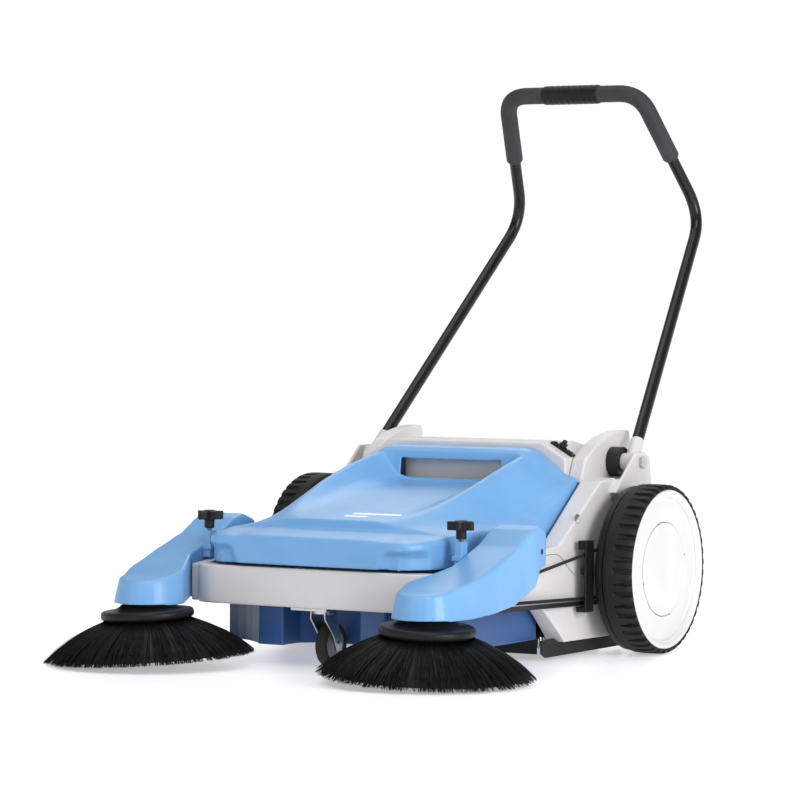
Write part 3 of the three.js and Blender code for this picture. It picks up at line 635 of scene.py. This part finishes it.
def hood():
    """Skin lofted through the stations, open at the finger slot, then given its wall."""
    steps = [HOOD_FRONT, -605, -603.5, -601, -597, -590]
    steps += [-590 + i * 6 for i in range(1, 13)] + [-516 + i for i in range(0, 9)]
    steps += [-506 + i * 8 for i in range(0, 47)] + [-134, -130]
    steps += [-127 + i * 0.5 for i in range(0, 28)] + [-113 + i * 2 for i in range(0, 6)]
    steps += [-101 + i * 6 for i in range(0, 5)] + [-71, HOOD_REAR]
    rows = [hood_row(y) for y in steps]
    columns = len(rows[0])
    front = []
    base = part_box("hood")[0].z / MM
    for k in range(FRONT_ROWS, 0, -1):
        share = 1 - k / FRONT_ROWS
        front.append([Vector((p.x, HOOD_FRONT, base + (p.z - base) * share)) for p in rows[0]])
    rows = [[scooped(p) for p in row] for row in front + rows]
    verts = [Vector((p.x, p.y + AXLE_Y / MM, p.z)) * MM for row in rows for p in row]
    faces = []
    for face in ring_faces(len(rows), columns, False, False):
        middle = sum((verts[i] for i in face), Vector()) / 4
        y = (middle.y - AXLE_Y) / MM
        if SLOT_FRONT < y < SLOT_BACK and abs(middle.x) < SLOT_HALF_M:
            continue
        faces.append(face)
    piece = new_piece("hood_shell", verts, faces, BLUE, "hopper", ("hood",), 70)
    thick = piece.modifiers.new("wall", "SOLIDIFY")
    thick.thickness = 0.0036
    thick.offset = -1
    mould(piece, 0.0017, 5, 0.3)


def hood_marks():
    """Two plain bars where the maker's panel would be."""
    for i, (x0, x1, y0, y1) in enumerate([(2, 98, -462, -452), (-2, 42, -482, -473)]):
        verts = []
        for x, y in ((x0, y0), (x1, y0), (x1, y1), (x0, y1)):
            z = smooth_station(y)[1] + 0.25
            verts.append(Vector((x, y + AXLE_Y / MM, z)) * MM)
        low = [v - Vector((0, 0, 0.0004)) for v in verts]
        faces = [(0, 1, 2, 3), (7, 6, 5, 4)]
        faces += [(k, k + 4, (k + 1) % 4 + 4, (k + 1) % 4) for k in range(4)]
        new_piece(f"panel_bar_{i}", verts + low, faces, MARK, "hopper")


# ---- handle -------------------------------------------------------------------
TUBE_R = 0.011
GRIP_R, GRIP_END_R, GRIP_LEG = 0.016, 0.0132, 0.150
ELBOW_CUT, CORNER_CUT, BEND_STEPS = 0.062, 0.044, 14


def handle():
    """Bent tube with its foam grip, and the ribbed band in the middle of the crossbar."""
    foot = Vector((0.271, AXLE_Y + 0.062, 0.335))
    elbow = Vector((0.194, AXLE_Y + 0.498, 0.789))
    corner = Vector((0.142, AXLE_Y + 0.336, 1.016))
    start = foot.lerp(elbow, 0.024 / (elbow - foot).length)

    def flipped(p):
        return Vector((-p.x, p.y, p.z))

    def bent(points, cuts):
        out = [points[0]]
        for i, cut in enumerate(cuts, 1):
            out += corner_arc(points[i - 1], points[i], points[i + 1], cut, BEND_STEPS)
        return out + [points[-1]]

    tube = bent([start, elbow, corner, flipped(corner), flipped(elbow), flipped(start)],
                [ELBOW_CUT, CORNER_CUT, CORNER_CUT, ELBOW_CUT])
    tube_piece("bent_tube", tube, [TUBE_R] * len(tube), PAINT, "handle",
               ("handle_tube",), 32)
    end = corner.lerp(elbow, GRIP_LEG / (corner - elbow).length)
    line = bent([end, corner, flipped(corner), flipped(end)], [CORNER_CUT, CORNER_CUT])
    near = line[0].lerp(line[1], 0.04)
    far = flipped(near)
    line = [line[0], near] + line[1:-1] + [far, line[-1]]
    radii = [GRIP_END_R] + [GRIP_R] * (len(line) - 2) + [GRIP_END_R]
    tube_piece("grip_foam", line, radii, GRIP, "handle", ("handle_grip",), 32)
    middle = Vector((0, corner.y, corner.z))
    profile = [(16.2, -58), (17.4, -58), (18.2, -54)]
    for i in range(9):
        at = -48 + 12 * i
        profile += [(18.3, at - 2.2), (17.5, at), (18.3, at + 2.2)]
    profile += [(18.2, 54), (17.4, 58), (16.2, 58)]
    turned("grip_band", profile, 48, middle, (1, 0, 0), BLACK, "handle",
           ("grip_sleeve",), 0.8)


# ---- small details ------------------------------------------------------------
def surface_point(node, y, z, mirror):
    """Point on a node's outer skin, seen along X, at machine y and height z in millimetres."""
    obj = nodes[node]
    start = Vector((mirror * 0.6, AXLE_Y + y * MM, z * MM))
    hit, where, normal, _ = obj.ray_cast(start, Vector((-mirror, 0, 0)))
    return (where, normal) if hit else (None, None)


def panel_details(name, mirror):
    """Curved seam and a ringed plug on the side panel, dark grey as painted shade for its recess,
    and the dark plug on the arm cover.

    It looks for the CAD skin with rays, so it runs before dress_nodes().
    """
    panel = f"side_panel_{name}"
    seam = []
    path = rounded([(-258, 184, 0), (-214, 186, 0), (-184, 160, 0), (-150, 140, 0)], 30, 6, False)
    dense = [a.lerp(b, k / 3) for a, b in zip(path, path[1:]) for k in range(3)]
    for p in dense:
        where, _ = surface_point(panel, p.x, p.y, mirror)
        if where:
            seam.append(where)
    if len(seam) > 3:
        tube_piece(f"panel_seam_{name}", seam, [0.0005] * len(seam), BLACK, "chassis",
                   sides=6)
    for part, y, z, size, dish, mat, body, slot in (
            # The side panel's plug is dark grey as painted shade for its recessed hole in the
            # panel's own grey.
            (panel, -150, 243, 8.5, -0.3, DARK, "chassis", "dark_grey_plastic"),
            (f"arm_cover_{name}", -388, 201, 5.2, 0.2, BLACK, f"arm_{name}", "black_plastic")):
        where, normal = surface_point(part, y, z, mirror)
        if where:
            turned(f"{part}_plug", [
                (0.1, -1.5), (size, -1.5), (size, 0.3), (size - 0.5, 0.5), (size - 1.0, dish),
                (0.1, dish),
            ], 36, where, normal, mat, body, cut=0.2)


def caster():
    centre = centre_of("caster_wheel")
    turned("caster_tyre", [
        (27, -9.5), (33, -10.8), (36.4, -9), (37.4, -5), (37.5, 0), (37.4, 5), (36.4, 9),
        (33, 10.8), (27, 9.5),
    ], 64, centre, (1, 0, 0), RUBBER, "caster_wheel", ("caster_wheel",), 1.5)
    turned("caster_centre", [
        (4.4, -11), (13, -11), (15, -6), (24, -5), (27.5, -9), (27.5, 9), (24, 5), (15, 6),
        (13, 11), (4.4, 11),
    ], 64, centre, (1, 0, 0), DARK, "caster_wheel", cut=1)
    for mirror in (1, -1):
        spot = Vector((mirror * 0.0155, centre.y, centre.z))
        turned(f"caster_nut_{mirror + 2}", [(0.1, 0), (7, 0), (7, 1.2), (6, 2.2), (0.1, 2.4)], 6,
               spot, (mirror, 0, 0), STEEL, "caster_swivel", cut=0.2)


def knob_details(name):
    """Zinc thread between post and knob, and a shallow cap in the star's top."""
    x, y, _ = joints[f"knob_turn_{name}"]["pos_m"]
    foot, up = Vector((x, y, 0.0)), (0, 0, 1)
    thread = [(4.5 + 0.35 * (k % 2), 222.4 + 0.5 * k) for k in range(8)]
    turned(f"knob_thread_{name}", [(4.05, 222)] + thread + [(4.05, 226)], 24, foot, up,
           STEEL, f"knob_{name}", cut=0.05)
    turned(f"knob_cap_{name}", [(0.1, 255), (11, 255), (11, 256.4), (9.5, 257.4), (0.1, 257.8)],
           32, foot, up, BLACK, f"knob_{name}", cut=0.6)


# ---- everything else ----------------------------------------------------------
# Node, or both nodes of a pair: voxel size in metres, smoothing passes, share of faces kept.
SOFTENED = {
    "front_bar": (0.0020, 10, 0.5),
    "rear_housing": (0.0022, 8, 0.4),
    "side_panel": (0.0018, 7, 0.35),
    "arm_cover": (0.0015, 45, 0.4),
    "hopper": (0.0018, 8, 0.35),
    "lift_post": (0.0006, 3, 0.3),
    "star_knob": (0.0007, 18, 0.4),
    "caster_fork": (0.0007, 3, 0.3),
    "handle_socket": (0.0008, 4, 0.4),
    "belt_guide": (0.0009, 4, 0.4),
}


def body_of(node):
    for body, members in frame["record"]["behaviour"]["bodies"].items():
        if node in members:
            return body
    return "root"


def dress_nodes():
    """Every CAD node takes its slot's material, but the hopper takes a darker blue as painted
    shade; the large mouldings get rounded copies.
    """
    slots = {s["node"]: s["material_slot"] for s in frame["record"]["subparts"]}
    for node, obj in nodes.items():
        # The hopper's darker blue is painted shade, not a colour of its own.
        mat = SHADED_BLUE if node == "hopper" else BY_SLOT[slots[node]]
        obj.data.materials.clear()
        obj.data.materials.append(mat)
        obj.data.shade_smooth()
        obj.data.set_sharp_from_angle(angle=math.radians(35))
        kind = node.removesuffix("_left").removesuffix("_right")
        if kind in SOFTENED:
            softened(node, mat, body_of(node), slots[node], *SOFTENED[kind])
        elif not obj.hide_render:
            edge = obj.modifiers.new("edges", "BEVEL")
            edge.width = 0.0006
            edge.segments = 2
            edge.limit_method = "ANGLE"
            edge.angle_limit = math.radians(40)
            edge.harden_normals = False


def draft_noses():
    """The covers narrow towards the top round their noses, as moulded parts do."""
    for name, mirror in SIDES:
        head = Vector(joints[f"side_brush_spin_{name}"]["pos_m"])
        low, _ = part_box(f"arm_cover_{name}")
        obj = bpy.data.objects[f"arm_cover_{name}_moulding"]
        for v in obj.data.vertices:
            forward = eased((head.y + 0.045 - v.co.y) / 0.06)
            tall = min(max((v.co.z - low.z) / 0.05, 0), 1)
            keep = 1 - 0.19 * forward * tall
            centre = head.x - mirror * 0.003
            v.co.x = centre + (v.co.x - centre) * keep
            v.co.y = head.y + (v.co.y - head.y) * keep if v.co.y < head.y else v.co.y


camera()
studio()
for side_name, sign in SIDES:
    wheel(side_name, sign)
    side_brush(side_name, sign)
    panel_details(side_name, sign)
    knob_details(side_name)
roller()
caster()
hood()
hood_marks()
handle()
dress_nodes()
draft_noses()
